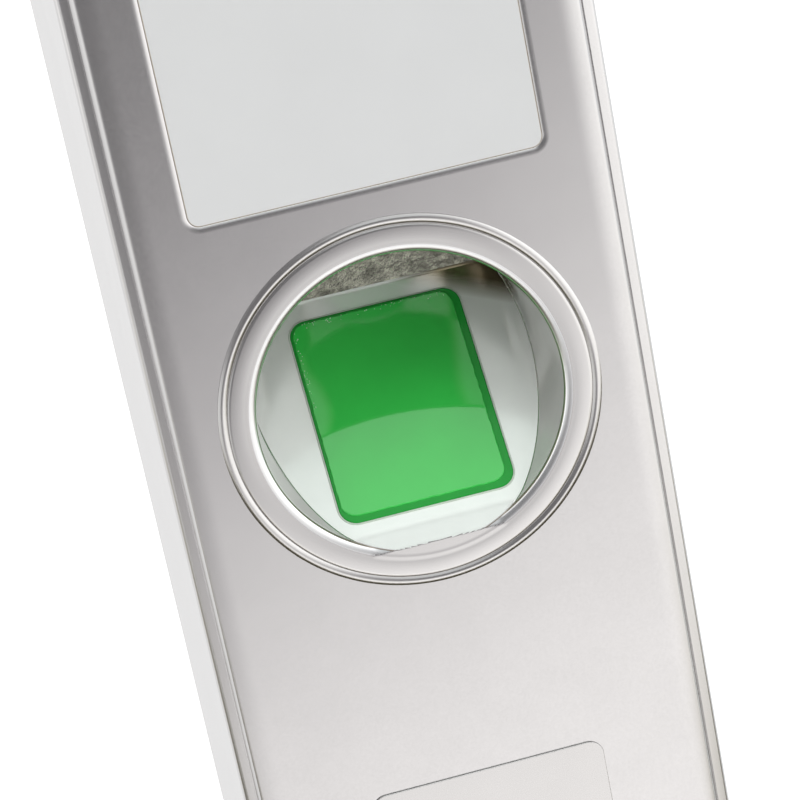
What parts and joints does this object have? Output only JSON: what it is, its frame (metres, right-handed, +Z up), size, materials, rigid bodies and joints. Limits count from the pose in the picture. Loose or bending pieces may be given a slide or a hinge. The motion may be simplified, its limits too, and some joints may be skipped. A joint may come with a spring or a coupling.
{
  "type": "fingerprint scanner terminal",
  "caption": "Slim wall terminal with a sloped green fingerprint glass in a round metal finger well, a card reader panel, boards inside and a hook-on wall plate.",
  "frame": {"origin": "centre of the wall plate's rear face, on the wall plane", "axes": "+Z up, -Y out of the front towards the user, +Y into the wall, +X to the right as seen from the front"},
  "size_m": [0.0534, 0.038, 0.15],
  "materials": {
    "satin_metal": "satin nickel on cast zinc",
    "polished_metal": "polished nickel on cast zinc",
    "panel_plastic": "fine satin, light grey",
    "tape": "matt adhesive tape",
    "clear_plastic": "translucent, glossy",
    "label_metal": "satin, blank",
    "green_glass": "glossy green",
    "film": "glossy clear green coating",
    "black_rubber": "matt",
    "black_plastic": "fine texture",
    "circuit_board": "green solder mask",
    "copper": "printed copper",
    "chip_plastic": "moulded epoxy",
    "ivory_plastic": "satin",
    "blue_plastic": "satin",
    "green_plastic": "satin",
    "red_plastic": "satin",
    "amber_film": "glossy film",
    "bright_steel": "zinc plated",
    "can_metal": "drawn can",
    "led_lens": "translucent"
  },
  "bodies": {
    "wall_plate": {"wall_plate": "bright_steel"},
    "housing": {"front_cover": "satin_metal", "finger_guide": "polished_metal", "guide_clip": "bright_steel", "card_panel": "panel_plastic", "panel_adhesive": "tape", "light_pipes": "clear_plastic", "status_leds": "led_lens", "antenna_board": "circuit_board", "antenna_coil": "copper", "antenna_screws": "bright_steel", "antenna_cable": "ivory_plastic", "name_label": "label_metal", "sensor_film": "film", "sensor_prism": "green_glass", "sensor_gasket": "black_rubber", "sensor_housing": "black_plastic", "sensor_screws": "bright_steel", "led_board": "circuit_board", "illumination_leds": "led_lens", "camera_lens": "black_plastic", "camera_board": "circuit_board", "image_chip": "chip_plastic", "ribbon_cable": "amber_film", "ribbon_connectors": "ivory_plastic", "main_board": "circuit_board", "board_chips": "chip_plastic", "board_screws": "bright_steel", "relay": "blue_plastic", "buzzer": "black_plastic", "capacitors": "can_metal", "coin_cell": "bright_steel", "cell_holder": "black_plastic", "terminal_block": "green_plastic", "terminal_screws": "bright_steel", "tamper_switch": "black_plastic", "reset_switch": "can_metal", "rear_cover": "black_plastic", "housing_seal": "black_rubber", "cable_grommet": "black_rubber", "cover_screws": "bright_steel", "security_screw": "bright_steel"},
    "tamper_plunger": {"tamper_plunger": "red_plastic"},
    "reset_button": {"reset_button": "black_plastic"}
  },
  "joints": [
    {"name": "housing_swing", "type": "hinge", "parent": "wall_plate", "child": "housing", "pos_m": [0, 0, 0.075], "axis": [-1, 0, 0], "range_deg": [0, 8]},
    {"name": "tamper_press", "type": "slide", "parent": "housing", "child": "tamper_plunger", "axis": [0, -1, 0], "range_m": [0, 0.001], "stiffness_N_per_m": 300, "springref_m": -0.003},
    {"name": "reset_press", "type": "slide", "parent": "housing", "child": "reset_button", "axis": [0, -1, 0], "range_m": [0, 0.0003], "stiffness_N_per_m": 2000, "springref_m": -0.0005}
  ]
}
